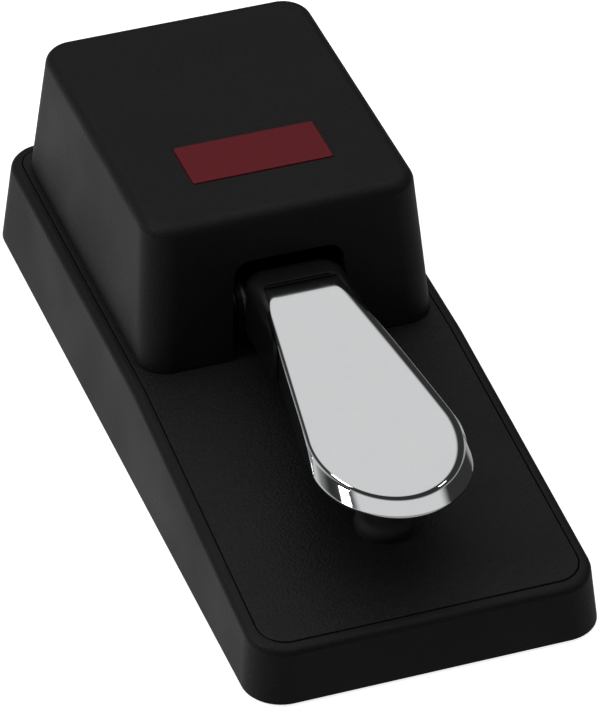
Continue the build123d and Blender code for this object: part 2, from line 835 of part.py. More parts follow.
def landing_post():
    """The post under the arm, cut so that its end lies flat on the front stop with the pedal down."""
    pressed = Pos(0, pivot_y, pivot_height) * Rot(-pedal_travel, 0, 0) * Pos(0, -pivot_y, -pivot_height)
    stump = post(0, stop_y - post_offset, 0, housing_height, post_radius)
    stump = stump & under_cap_line(cap_roof + cap_boss_height + boss_cover)
    floor = pressed * deck_frame(stop_y) * block(-reach, reach, -reach, reach, -reach, stop_height + stop_gap)
    return stump - floor


def cap_screw_seat(y):
    """Height of the flat seat that a cap screw's head pulls against."""
    return cap_height(y) - cap_roof - cap_boss_height - arm_web + cap_seat_depth


def make_cap_screws():
    screws = [Pos(0, y, cap_screw_seat(y)) * screw(cap_screw_length) for y in cap_boss_places]
    return Compound(children=screws)


def make_axle():
    rod = cross_rod(-axle_half_length, axle_half_length, pivot_y, pivot_height, axle_radius)
    rod = chamfer(rod.edges().group_by(Axis.X)[0] + rod.edges().group_by(Axis.X)[-1], axle_edge)
    for side in (-1, 1):
        start = side * (ear_outer_x + clip_gap)
        end = start + side * groove_width
        low, high = min(start, end), max(start, end)
        ring = cross_rod(low, high, pivot_y, pivot_height, axle_radius + cut_extra)
        ring -= cross_rod(low, high, pivot_y, pivot_height, groove_radius)
        rod -= ring
    return rod


def make_clips():
    clips = []
    for side in (-1, 1):
        start = side * (ear_outer_x + clip_gap)
        end = start + side * clip_thickness
        low, high = min(start, end), max(start, end)
        disc = cross_rod(low, high, pivot_y, pivot_height, clip_radius)
        disc -= cross_rod(low, high, pivot_y, pivot_height, groove_radius + clip_fit)
        slot = block(low, high, pivot_y - clip_mouth, pivot_y + clip_mouth,
                     pivot_height - clip_radius, pivot_height)
        clips.append(disc - slot)
    return Compound(children=clips)


def make_bushes():
    bushes = []
    for side in (-1, 1):
        inner = side * (hub_half_length - bush_length)
        face_x = side * hub_half_length
        outer = side * (hub_half_length + bush_flange)
        sleeve = cross_rod(min(inner, outer), max(inner, outer), pivot_y, pivot_height, bush_outer_radius)
        flange = cross_rod(min(face_x, outer), max(face_x, outer), pivot_y, pivot_height, bush_flange_radius)
        bore = cross_rod(min(inner, outer), max(inner, outer), pivot_y, pivot_height,
                         axle_radius + running_clearance)
        bushes.append(sleeve + flange - bore)
    return Compound(children=bushes)


def make_bracket():
    floor = block(-ear_outer_x, ear_outer_x, bracket_front_y, bracket_rear_y, deck_top, bracket_top)
    bracket = floor
    for side in (-1, 1):
        low = min(side * ear_inner_x, side * ear_outer_x)
        high = max(side * ear_inner_x, side * ear_outer_x)
        ear_front_y = pivot_y - ear_radius
        ear = block(low, high, ear_front_y, ear_front_y + ear_length, deck_top, pivot_height)
        ear += cross_rod(low, high, pivot_y, pivot_height, ear_radius)
        slope_end = ear_front_y + ear_length
        ramp = make_face(Plane.YZ * Polyline(
            (pivot_y, pivot_height + ear_radius), (reach, pivot_height + ear_radius),
            (reach, deck_top + ear_foot_height), (slope_end, deck_top + ear_foot_height),
            (pivot_y + ear_radius, pivot_height),
            close=True,
        ))
        round_end = cross_rod(low, high, pivot_y, pivot_height, ear_radius)
        ear = ear - Pos(low, 0, 0) * extrude(ramp, high - low, dir=(1, 0, 0)) + round_end
        bracket += ear
        bracket -= cross_rod(low, high, pivot_y, pivot_height, axle_radius + running_clearance)
    for x, y in bracket_places():
        bracket -= post(x, y, deck_top, bracket_top, screw_hole_radius)
    bracket -= post(0, nose_y, deck_top, bracket_top, plunger_hole_radius)
    return bracket


def make_bracket_screws():
    flip = Rot(180, 0, 0)
    screws = [Pos(x, y, bracket_top) * flip * screw(bracket_screw_length) for x, y in bracket_places()]
    return Compound(children=screws)


def make_housing_screws():
    screws = [Pos(x, y, deck_under) * screw(housing_screw_length) for x, y in housing_places()]
    return Compound(children=screws)


def make_board():
    board = block(-board_width / 2, board_width / 2, board_y - board_length / 2, board_y + board_length / 2,
                  board_height, board_top)
    for x, y in board_places():
        board -= post(x, y, board_height, board_top, screw_hole_radius)
    return board


def make_board_screws():
    screws = [Pos(x, y, board_height) * screw(board_screw_length) for x, y in board_places()]
    return Compound(children=screws)


def make_switch_body():
    half = switch_size / 2
    body = block(-half, half, nose_y - half, nose_y + half, board_top, board_top + switch_height)
    body = fillet(body.edges().filter_by(Axis.Z), switch_corner)
    floor = board_top + switch_floor
    bore = post(0, nose_y, floor, board_top + switch_height, plunger_radius + running_clearance)
    room = post(0, nose_y, floor, floor + collar_room, plunger_collar_radius + collar_gap)
    return body - bore - room


def make_plunger():
    top = nose_height - nose_gap
    low = board_top + switch_floor + plunger_drop
    shaft = post(0, nose_y, low, top, plunger_radius)
    shaft = fillet(shaft.edges().group_by(Axis.Z)[-1], plunger_dome)
    return shaft + post(0, nose_y, low, low + plunger_collar_height, plunger_collar_radius)


def make_terminal():
    half_width = terminal_width / 2
    half_length = terminal_length / 2
    body = block(terminal_x - half_width, terminal_x + half_width, terminal_y - half_length,
                 terminal_y + half_length, board_top, board_top + terminal_height)
    for x in (terminal_x - terminal_width / 4, terminal_x + terminal_width / 4):
        body -= block(x - terminal_hole, x + terminal_hole, terminal_y, terminal_y + half_length,
                      board_top + terminal_entry_low, board_top + terminal_entry_high)
        body -= post(x, terminal_y, board_top + terminal_screw_low, board_top + terminal_height,
                     terminal_hole)
    return body


def make_selector_body():
    middle = selector_travel / 2
    body = block(middle - selector_width / 2, middle + selector_width / 2, selector_y - selector_length / 2,
                 selector_y + selector_length / 2, plate_top + selector_body_gap, board_height)
    side = selector_knob / 2 + selector_side_gap
    return body - block(-side, side + selector_travel, selector_y - side, selector_y + side,
                        plate_top, plate_top + selector_room)


def make_selector_knob():
    half = selector_knob / 2
    knob = block(-half, half, selector_y - half, selector_y + half,
                 plate_top - selector_knob_drop, plate_top + selector_knob_rise)
    return chamfer(knob.edges().group_by(Axis.Z)[0], selector_edge)


def make_spring():
    low = tail_top + spring_gap + spring_wire / 2
    high = roof_line(spring_y) - roof_thickness - spring_seat_height - spring_gap - spring_wire / 2
    path = Helix((high - low) / spring_turns, high - low, spring_radius)
    start = path @ 0
    section = Plane(origin=start, z_dir=path % 0) * Circle(spring_wire / 2)
    return Pos(0, spring_y, low) * sweep(section, path=path)


def make_rest_pad():
    high = tail_bottom - pad_gap
    return post(0, spring_y, high - pad_thickness, high, pad_radius)


makers = {
    "base_shell": make_base_shell,
    "deck_plate": make_deck,
    "housing_cover": make_housing_cover,
    "badge": make_badge,
    "bottom_plate": make_bottom_plate,
    "rubber_sole": make_sole,
    "case_screws": make_case_screws,
    "housing_screws": make_housing_screws,
    "cable_grommet": make_grommet,
    "front_stop": make_front_stop,
    "rest_pad": make_rest_pad,
    "pedal_cap": make_cap,
    "pedal_arm": make_arm,
    "cap_screws": make_cap_screws,
    "pivot_axle": make_axle,
    "axle_clips": make_clips,
    "axle_bushes": make_bushes,
    "pivot_bracket": make_bracket,
    "bracket_screws": make_bracket_screws,
    "return_spring": make_spring,
    "switch_board": make_board,
    "board_screws": make_board_screws,
    "switch_body": make_switch_body,
    "switch_plunger": make_plunger,
    "wire_terminal": make_terminal,
    "selector_body": make_selector_body,
    "selector_knob": make_selector_knob,
}
for node, maker in makers.items():
    save(node, maker())
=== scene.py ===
import json
import math

import bmesh
import bpy
from mathutils import Matrix, Vector


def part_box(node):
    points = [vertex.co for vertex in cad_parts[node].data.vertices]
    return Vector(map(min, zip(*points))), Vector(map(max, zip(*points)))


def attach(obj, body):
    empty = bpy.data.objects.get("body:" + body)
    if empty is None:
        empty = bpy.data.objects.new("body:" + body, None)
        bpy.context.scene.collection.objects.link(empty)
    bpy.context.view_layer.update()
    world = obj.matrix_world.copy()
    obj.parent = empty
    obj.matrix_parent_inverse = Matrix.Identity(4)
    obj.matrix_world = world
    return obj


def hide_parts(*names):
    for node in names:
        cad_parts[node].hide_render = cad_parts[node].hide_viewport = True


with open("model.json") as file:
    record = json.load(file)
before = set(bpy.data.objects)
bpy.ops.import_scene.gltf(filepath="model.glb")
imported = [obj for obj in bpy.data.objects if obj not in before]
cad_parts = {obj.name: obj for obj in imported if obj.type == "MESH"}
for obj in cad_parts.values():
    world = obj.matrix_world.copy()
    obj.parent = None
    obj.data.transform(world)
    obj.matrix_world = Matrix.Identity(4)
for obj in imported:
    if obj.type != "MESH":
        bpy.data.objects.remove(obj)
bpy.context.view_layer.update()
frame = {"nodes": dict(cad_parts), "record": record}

MM = 0.001

# ---- Camera: heading and height of the view, the place it looks at, and its distance.
VIEW_HEADING = -20.073
VIEW_ELEVATION = 37.549
VIEW_ROLL = 0.627
VIEW_AIM = (0.00256, -0.0065, 0.0282)
VIEW_DISTANCE = 1.6959
LENS_MM = 301.6
SHIFT_X = -0.00615
SHIFT_Y = -0.0003

# ---- Studio: where the pale sky is, how far it reaches, and how bright each part of the surroundings is.
SKY_TOWARDS = (0.0, 0.26, 0.966)
SKY_EDGE = 0.70
SKY_FULL = 0.79
SKY_LEVEL = 0.93
SIDE_LEVEL = 0.35
FLOOR_LEVEL = 0.42
DIM_LEVEL = 0.045

# ---- Cap: a plated zinc casting.  Its outlines are a round nose with straight sides that taper to the rear.
CAP_TIP_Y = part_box("pedal_cap")[0].y / MM
CAP_LENGTH = 100.0
CAP_REAR_Y = CAP_TIP_Y + CAP_LENGTH
CROWN_HEIGHTS = (51.8, 55.1, 57.0)
CROWN_START = 5.0
CAP_RADIUS = 21.6
CAP_NOSE_SET_BACK = 3.9
CAP_ROUND = 26.0
CAP_TAPER = 7.8
LIP_HALF_WIDTH = 22.5
LIP_ROUND = 25.0
LIP_TAPER = 8.8
REAR_CORNER = 2.5
SHOULDER = 4.2
SHOULDER_DROP_REAR = 1.6
SHOULDER_DROP_NOSE = 1.9
SHOULDER_CHANGE_START = 6.0
SHOULDER_CHANGE_LENGTH = 46.0
LIP_LEVEL = 46.5
LIP_STEP = 52.4
LIP_REAR = 56.0
LIP_CLIMB_START = 24.0
LIP_CLIMB_LENGTH = 11.0
LIP_SIDE_START = 32.0
LIP_SIDE_LENGTH = 68.0
LIP_THICKNESS = 1.2
LIP_BELOW_SHOULDER = 0.4
CAP_WALL = 1.8
CAP_ROOF = 2.0
BOSS_RADIUS = 3.5
BOSS_LENGTH = 4.0
BOSS_INSETS = (15.5, 56.0, 86.0)
SKIRT_REAR_INSET = 21.4
SKIRT_END_Y = CAP_REAR_Y - SKIRT_REAR_INSET
SKIRT_FADE = 5.0
PULL_FADE = 6.0
OUTLINE_SIDE = 28
OUTLINE_NOSE = 64
OUTLINE_CORNER = 6
SHOULDER_RINGS = 12
FLARE_RINGS = 8
ROOF_STRIPS = 14
SEAM = 0.0003

# ---- Screws: sizes in millimetres, then shares of the head's radius or of the length or the pitch.
SCREW_HEAD = 1.8
SCREW_SHANK = 1.3
SCREW_PITCH = 1.1
SCREW_DRIVE_WIDTH = 1.0
# The two bars of the drive differ in height, so that no face of one lies in a face of the other.
DRIVE_HEIGHTS = (2.2, 2.0)
WELD = 0.01
HEAD_CROWN_SHARE = 0.72
DRIVE_SHARE = 1.24
THREAD_SHARE = 0.8
THREAD_START_SHARE = 0.1
RIDGE_SHARE = 0.2

# ---- Backdrop, in metres.
FLOOR_RADIUS = 7.0
SWEEP = 2.0
WALL_HEIGHT = 5.0
BACKDROP_SIDES = 96


# ---------------------------------------------------------------- helpers

def linear(code, alpha=1.0):
    """An sRGB hex colour as the linear values that a shader takes."""
    parts = [int(code[i:i + 2], 16) / 255 for i in (1, 3, 5)]
    low = [p / 12.92 if p <= 0.04045 else ((p + 0.055) / 1.055) ** 2.4 for p in parts]
    return (*low, alpha)


def add(tree, kind, settings=None, **sockets):
    """Adds a node.  Settings are its own choices; sockets are values, or the outputs that feed them."""
    node = tree.nodes.new(kind)
    for name, value in (settings or {}).items():
        setattr(node, name, value)
    for name, value in sockets.items():
        key = int(name[1:]) if name[0] == "_" and name[1:].isdigit() else name.replace("_", " ")
        socket = node.inputs[key]
        if isinstance(value, bpy.types.NodeSocket):
            tree.links.new(value, socket)
        else:
            socket.default_value = value
    return node


def begin(name):
    """An empty material with its tree, its Principled shader and the object's own coordinates."""
    finish = bpy.data.materials.new(name)
    finish.use_nodes = True
    tree = finish.node_tree
    tree.nodes.clear()
    shader = add(tree, "ShaderNodeBsdfPrincipled")
    add(tree, "ShaderNodeOutputMaterial", Surface=shader.outputs[0])
    place = add(tree, "ShaderNodeTexCoord").outputs["Object"]
    return finish, tree, shader, place


def feed(tree, source, target):
    tree.links.new(source, target)


def per_mm(size):
    """Texture scale at which a pattern's cell is so many millimetres across."""
    return 1.0 / (size * MM)


# ---------------------------------------------------------------- materials

def moulded_black(name, dark, light, grain_mm, depth_mm, rough_low, rough_high, level):
    """ABS moulded against a spark-eroded tool: matt black with fine pits that break up the light."""
    finish, tree, shader, place = begin(name)
    pits = add(tree, "ShaderNodeTexVoronoi", {"feature": "SMOOTH_F1"}, Vector=place, Scale=per_mm(grain_mm),
               Smoothness=0.6)
    fine = add(tree, "ShaderNodeTexNoise", Vector=place, Scale=per_mm(grain_mm * 0.7), Detail=3.0)
    wide = add(tree, "ShaderNodeTexNoise", Vector=place, Scale=per_mm(38.0), Detail=2.0)
    both = add(tree, "ShaderNodeMath", {"operation": "ADD"}, _0=pits.outputs[0], _1=fine.outputs[0])
    bump = add(tree, "ShaderNodeBump", Strength=1.0, Distance=depth_mm * MM, Height=both.outputs[0])
    feed(tree, bump.outputs[0], shader.inputs["Normal"])
    feed(tree, add(tree, "ShaderNodeMix", {"data_type": "RGBA"},
                   _0=add(tree, "ShaderNodeMapRange", Value=fine.outputs[0],
                   From_Min=0.35, From_Max=0.65, To_Min=0.0, To_Max=1.0).outputs[0],
                   _6=linear(dark), _7=linear(light)).outputs[2],
         shader.inputs["Base Color"])
    feed(tree, add(tree, "ShaderNodeMapRange", Value=wide.outputs[0],
                   From_Min=0.3, From_Max=0.7, To_Min=rough_low, To_Max=rough_high).outputs[0],
         shader.inputs["Roughness"])
    shader.inputs["IOR"].default_value = 1.53
    shader.inputs["Specular IOR Level"].default_value = level
    return finish


def chrome_plate():
    """Zinc casting, polished and chrome plated: a cool mirror with the faint waviness of hand polishing."""
    finish, tree, shader, place = begin("polished_chrome_plate")
    wave = add(tree, "ShaderNodeTexNoise", Vector=place, Scale=per_mm(16.0), Detail=1.0)
    haze = add(tree, "ShaderNodeTexNoise", Vector=place, Scale=per_mm(9.0), Detail=4.0, Roughness=0.6)
    bump = add(tree, "ShaderNodeBump", Strength=1.0, Distance=0.004 * MM, Height=wave.outputs[0])
    feed(tree, bump.outputs[0], shader.inputs["Normal"])
    feed(tree, add(tree, "ShaderNodeMapRange", Value=haze.outputs[0],
                   From_Min=0.3, From_Max=0.7, To_Min=0.035, To_Max=0.08).outputs[0],
         shader.inputs["Roughness"])
    feed(tree, add(tree, "ShaderNodeMix", {"data_type": "RGBA"}, _0=haze.outputs[0],
                   _6=linear("#c6c8ca"), _7=linear("#cfd0d0")).outputs[2], shader.inputs["Base Color"])
    shader.inputs["Metallic"].default_value = 1.0
    return finish


def badge_enamel():
    """Red enamel print on a thin plate, with an eggshell surface and a faint fleck."""
    finish, tree, shader, place = begin("satin_red_enamel")
    fleck = add(tree, "ShaderNodeTexNoise", Vector=place, Scale=per_mm(0.8), Detail=2.0)
    feed(tree, add(tree, "ShaderNodeMix", {"data_type": "RGBA"}, _0=fleck.outputs[0],
                   _6=linear("#5c0d15"), _7=linear("#73161f")).outputs[2], shader.inputs["Base Color"])
    feed(tree, add(tree, "ShaderNodeMapRange", Value=fleck.outputs[0],
                   From_Min=0.0, From_Max=1.0, To_Min=0.36, To_Max=0.5).outputs[0],
         shader.inputs["Roughness"])
    bump = add(tree, "ShaderNodeBump", Strength=1.0, Distance=0.01 * MM, Height=fleck.outputs[0])
    feed(tree, bump.outputs[0], shader.inputs["Normal"])
    shader.inputs["IOR"].default_value = 1.5
    shader.inputs["Specular IOR Level"].default_value = 0.18
    return finish


def worked_metal(name, dark, light, roughness, line_mm, stretch):
    """Steel that keeps the marks of its making: fine lines along one direction."""
    finish, tree, shader, place = begin(name)
    turned = add(tree, "ShaderNodeMapping", Vector=place, Scale=stretch)
    lines = add(tree, "ShaderNodeTexNoise", Vector=turned.outputs[0], Scale=per_mm(line_mm), Detail=3.0)
    bump = add(tree, "ShaderNodeBump", Strength=1.0, Distance=0.006 * MM, Height=lines.outputs[0])
    feed(tree, bump.outputs[0], shader.inputs["Normal"])
    feed(tree, add(tree, "ShaderNodeMix", {"data_type": "RGBA"}, _0=lines.outputs[0],
                   _6=linear(dark), _7=linear(light)).outputs[2], shader.inputs["Base Color"])
    feed(tree, add(tree, "ShaderNodeMapRange", Value=lines.outputs[0],
                   From_Min=0.0, From_Max=1.0, To_Min=roughness, To_Max=roughness + 0.16).outputs[0],
         shader.inputs["Roughness"])
    shader.inputs["Metallic"].default_value = 1.0
    return finish


def soft_matt(name, dark, light, cell_mm, depth_mm, rough_low, rough_high, ior):
    """Rubber, felt, paint or plain plastic: a broken-up matt surface with a slightly uneven colour."""
    finish, tree, shader, place = begin(name)
    cells = add(tree, "ShaderNodeTexNoise", Vector=place, Scale=per_mm(cell_mm), Detail=4.0, Roughness=0.6)
    bump = add(tree, "ShaderNodeBump", Strength=1.0, Distance=depth_mm * MM, Height=cells.outputs[0])
    feed(tree, bump.outputs[0], shader.inputs["Normal"])
    feed(tree, add(tree, "ShaderNodeMix", {"data_type": "RGBA"}, _0=cells.outputs[0],
                   _6=linear(dark), _7=linear(light)).outputs[2], shader.inputs["Base Color"])
    feed(tree, add(tree, "ShaderNodeMapRange", Value=cells.outputs[0],
                   From_Min=0.0, From_Max=1.0, To_Min=rough_low, To_Max=rough_high).outputs[0],
         shader.inputs["Roughness"])
    shader.inputs["IOR"].default_value = ior
    return finish


finishes = {
    "black_abs": moulded_black("spark_textured_black_abs", "#141415", "#1d1d1e",
                               0.55, 0.08, 0.46, 0.58, 0.14),
    "deck_abs": moulded_black("coarse_textured_black_abs", "#131314", "#202021",
                              0.75, 0.12, 0.46, 0.58, 0.16),
    "arm_nylon": moulded_black("satin_black_nylon", "#0d0d0e", "#121213", 0.5, 0.012, 0.28, 0.38, 0.35),
    "chrome_zinc": chrome_plate(),
    "badge_red": badge_enamel(),
    "zinc_steel": worked_metal("zinc_plated_steel", "#8d9196", "#b4b7ba", 0.24, 0.5, (1.0, 1.0, 0.2)),
    "ground_steel": worked_metal("ground_steel_rod", "#9a9da1", "#b9bbbd", 0.2, 0.35, (8.0, 1.0, 1.0)),
    "spring_steel": worked_metal("oiled_spring_wire", "#4c4d50", "#7b7d80", 0.3, 0.4, (1.0, 1.0, 1.0)),
    "black_plate": soft_matt("black_powder_coat", "#0f0f10", "#1b1b1d", 0.5, 0.03, 0.5, 0.66, 1.5),
    "rubber_black": soft_matt("moulded_black_rubber", "#0a0a0a", "#151515", 0.6, 0.03, 0.66, 0.84, 1.52),
    "felt_grey": soft_matt("pressed_grey_felt", "#4c4c4e", "#77777a", 0.5, 0.25, 0.92, 1.0, 1.45),
    "bush_acetal": soft_matt("turned_white_acetal", "#cfccc2", "#dedbd2", 0.8, 0.01, 0.3, 0.42, 1.48),
    "board_green": soft_matt("green_solder_mask", "#123f28", "#1d5c3b", 1.2, 0.01, 0.26, 0.4, 1.5),
    "switch_black": soft_matt("moulded_switch_case", "#101012", "#1a1a1c", 0.7, 0.01, 0.34, 0.46, 1.53),
    "plunger_white": soft_matt("moulded_white_acetal", "#c9c8c4", "#dbdad6", 0.9, 0.01, 0.3, 0.42, 1.48),
    "terminal_green": soft_matt("moulded_green_terminal", "#1c5f3d", "#2b7c52", 0.8, 0.01, 0.34, 0.48, 1.55),
}
slot_of = {part["node"]: part["material_slot"] for part in frame["record"]["subparts"]}
for node, piece in frame["nodes"].items():
    piece.data.materials.clear()
    piece.data.materials.append(finishes[slot_of[node]])


# ---------------------------------------------------------------- pedal cap

def ease(share):
    """A share from 0 to 1 with a soft start and end."""
    share = min(max(share, 0.0), 1.0)
    return share * share * (3 - 2 * share)


def crown_height(y):
    """Height of the cap's polished top, a shallow arc through three heights."""
    share = (y - CAP_TIP_Y - CROWN_START) / (CAP_LENGTH - CROWN_START)
    nose, middle, rear = CROWN_HEIGHTS
    bow = 4 * middle - 2 * nose - 2 * rear
    return nose + share * (rear - nose) + bow * share * (1 - share)


def lip_height(y):
    """Height of the lip's lower edge: level round the nose, a step up, then rising gently to the rear."""
    start = CAP_TIP_Y + LIP_CLIMB_START
    slope = (LIP_REAR - LIP_STEP) / LIP_SIDE_LENGTH
    side = LIP_STEP + (y - CAP_TIP_Y - LIP_SIDE_START) * slope
    climb = min(max((y - start) / LIP_CLIMB_LENGTH, 0.0), 1.0)
    return LIP_LEVEL + (side - LIP_LEVEL) * math.sin(climb * math.pi / 2)


def shoulder_drop(y):
    """How far the rounded shoulder falls below the top, more round the nose."""
    share = ease((y - CAP_TIP_Y - SHOULDER_CHANGE_START) / SHOULDER_CHANGE_LENGTH)
    return SHOULDER_DROP_NOSE + (SHOULDER_DROP_REAR - SHOULDER_DROP_NOSE) * share


def teardrop(half_width, nose_length, taper, growth, set_back=0.0):
    """Half of an outline as points: the rear corner, the straight side, then the round nose to its tip."""
    wide = half_width + growth
    long = nose_length + growth
    slope = math.tan(math.radians(taper))
    centre_y = CAP_TIP_Y + set_back + nose_length
    turn = math.hypot(wide, long * slope)
    touch_x = wide * wide / turn
    touch_y = centre_y + long * long * slope / turn
    rear_y = CAP_REAR_Y + growth
    rear_x = touch_x - (rear_y - touch_y) * slope
    radius = max(REAR_CORNER + growth, 0.6)
    corner_x = rear_x - radius
    corner_y = rear_y - radius
    half = []
    for i in range(OUTLINE_CORNER + 1):
        angle = math.radians(90 - 90 * i / OUTLINE_CORNER)
        half.append((corner_x + radius * math.cos(angle), corner_y + radius * math.sin(angle)))
    side_x, side_y = half[-1]
    for i in range(1, OUTLINE_SIDE + 1):
        share = i / OUTLINE_SIDE
        half.append((side_x + (touch_x - side_x) * share, side_y + (touch_y - side_y) * share))
    begin_angle = math.atan2((touch_y - centre_y) / long, touch_x / wide)
    for i in range(1, OUTLINE_NOSE + 1):
        angle = begin_angle - (begin_angle + math.pi / 2) * i / OUTLINE_NOSE
        half.append((wide * math.cos(angle), centre_y + long * math.sin(angle)))
    return half


def skirt_point(inner, full, pull):
    """A point of the skirt's edge; the skirt fades into the body in front of the shroud."""
    keep = ease((SKIRT_END_Y - full[1]) / SKIRT_FADE)
    x = inner[0] + (full[0] - inner[0]) * keep
    y = inner[1] + (full[1] - inner[1]) * keep
    behind = y - CAP_TIP_Y - LIP_ROUND
    reach = math.hypot(x, behind) or 1.0
    return x - pull * x / reach, y - pull * behind / reach * (1 - ease(behind / PULL_FADE))


def rim_top(inner, outer):
    """Height of the skirt's upper edge, never above the foot of the shoulder."""
    shoulder = crown_height(inner[1]) - shoulder_drop(inner[1])
    return min(lip_height(outer[1]) + LIP_THICKNESS, shoulder - LIP_BELOW_SHOULDER)


def ring(mesh, half, height):
    """A closed ring of corners from half an outline: down the right side and back up the left."""
    levels = [height(y) for _, y in half] if callable(height) else height
    right = [mesh.verts.new((x * MM, y * MM, z * MM)) for (x, y), z in zip(half[:-1], levels)]
    nose = mesh.verts.new((0.0, half[-1][1] * MM, levels[-1] * MM))
    left = [mesh.verts.new((-x * MM, y * MM, z * MM)) for (x, y), z in zip(half[:-1], levels)]
    return right + [nose] + left[::-1]


def bridge(mesh, first, second):
    """Faces between two rings of as many corners."""
    count = len(first)
    for i in range(count):
        j = (i + 1) % count
        mesh.faces.new((first[i], first[j], second[j], second[i]))


def cover_ring(mesh, loop, height, steps=ROOF_STRIPS):
    """Fills a ring with strips across, so that the sheet keeps one smooth curve from end to end."""
    side = len(loop) // 2
    right = loop[:side]
    left = loop[:side:-1]
    rows = [[right[0], left[0]]]
    for a, b in zip(right[1:], left[1:]):
        row = [a]
        for k in range(1, steps):
            share = k / steps
            point = a.co.lerp(b.co, share)
            row.append(mesh.verts.new((point.x, point.y, height(point.y / MM) * MM)))
        rows.append(row + [b])
    mesh.faces.new(rows[0] + rows[1][::-1])
    for top, low in zip(rows[1:], rows[2:]):
        for k in range(steps):
            mesh.faces.new((top[k], top[k + 1], low[k + 1], low[k]))
    nose = loop[side]
    for k in range(steps):
        mesh.faces.new((rows[-1][k], rows[-1][k + 1], nose))


def turned_post(mesh, x, y, low, high, radius, count=28):
    """A plain round boss, closed at both ends."""
    base = [mesh.verts.new(((x + radius * math.cos(math.tau * i / count)) * MM,
                            (y + radius * math.sin(math.tau * i / count)) * MM, low * MM))
            for i in range(count)]
    head = [mesh.verts.new((v.co.x, v.co.y, high * MM)) for v in base]
    bridge(mesh, base, head)
    mesh.faces.new(base[::-1])
    mesh.faces.new(head)


def settle(name, mesh, finish, sharp=40.0):
    """Turns a bmesh into a finished object: faces outwards, smooth but for its real edges."""
    bmesh.ops.remove_doubles(mesh, verts=mesh.verts, dist=SEAM * MM)
    bmesh.ops.recalc_face_normals(mesh, faces=mesh.faces)
    data = bpy.data.meshes.new(name)
    mesh.to_mesh(data)
    mesh.free()
    data.materials.append(finish)
    for face in data.polygons:
        face.use_smooth = True
    data.set_sharp_from_angle(angle=math.radians(sharp))
    piece = bpy.data.objects.new(name, data)
    bpy.context.scene.collection.objects.link(piece)
    return piece


def make_cap():
    """The hollow casting: a rounded shoulder, a flared lip, a roof and three screw bosses."""
    mesh = bmesh.new()
    rings = []
    for i in range(SHOULDER_RINGS + 1):
        angle = math.pi / 2 * i / SHOULDER_RINGS
        inset = SHOULDER * (1 - math.sin(angle))
        fall = 1 - math.cos(angle)
        outline = teardrop(CAP_RADIUS, CAP_ROUND, CAP_TAPER, -inset, CAP_NOSE_SET_BACK)
        rings.append(ring(mesh, outline, lambda y, f=fall: crown_height(y) - shoulder_drop(y) * f))
    top = rings[0]
    inner = teardrop(CAP_RADIUS, CAP_ROUND, CAP_TAPER, 0.0, CAP_NOSE_SET_BACK)
    full = teardrop(LIP_HALF_WIDTH, LIP_ROUND, LIP_TAPER, 0.0)
    outer = [skirt_point(a, b, 0.0) for a, b in zip(inner, full)]
    for i in range(1, FLARE_RINGS + 1):
        out = i / FLARE_RINGS
        blend = [((1 - out) * a[0] + out * b[0], (1 - out) * a[1] + out * b[1]) for a, b in zip(inner, outer)]
        levels = []
        for a, b in zip(inner, outer):
            shoulder = crown_height(a[1]) - shoulder_drop(a[1])
            levels.append(shoulder + (rim_top(a, b) - shoulder) * out)
        rings.append(ring(mesh, blend, levels))
    edge = LIP_THICKNESS / 2
    for angle in (40.0, 90.0, 140.0, 180.0):
        pull = edge * (1 - math.sin(math.radians(angle)))
        fall = edge * (1 - math.cos(math.radians(angle)))
        outline = [skirt_point(a, b, pull if angle > 90 else 0.0) for a, b in zip(inner, full)]
        levels = [rim_top(a, b) - fall for a, b in zip(inner, outer)]
        rings.append(ring(mesh, outline, levels))
    hollow = teardrop(CAP_RADIUS, CAP_ROUND, CAP_TAPER, -CAP_WALL, CAP_NOSE_SET_BACK)
    rings.append(ring(mesh, hollow, [rim_top(a, b) - LIP_THICKNESS for a, b in zip(inner, outer)]))
    ceiling = ring(mesh, hollow, lambda y: crown_height(y) - CAP_ROOF)
    rings.append(ceiling)
    for first, second in zip(rings, rings[1:]):
        bridge(mesh, first, second)
    cover_ring(mesh, top, crown_height)
    cover_ring(mesh, ceiling, lambda y: crown_height(y) - CAP_ROOF)
    for inset in BOSS_INSETS:
        y = CAP_TIP_Y + inset
        high = crown_height(y) - CAP_ROOF + 0.5
        turned_post(mesh, 0.0, y, high - BOSS_LENGTH - 0.5, high, BOSS_RADIUS)
    piece = settle("polished_cap", mesh, finishes["chrome_zinc"])
    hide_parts("pedal_cap")
    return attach(piece, "pedal")


make_cap()


# ---------------------------------------------------------------- screws

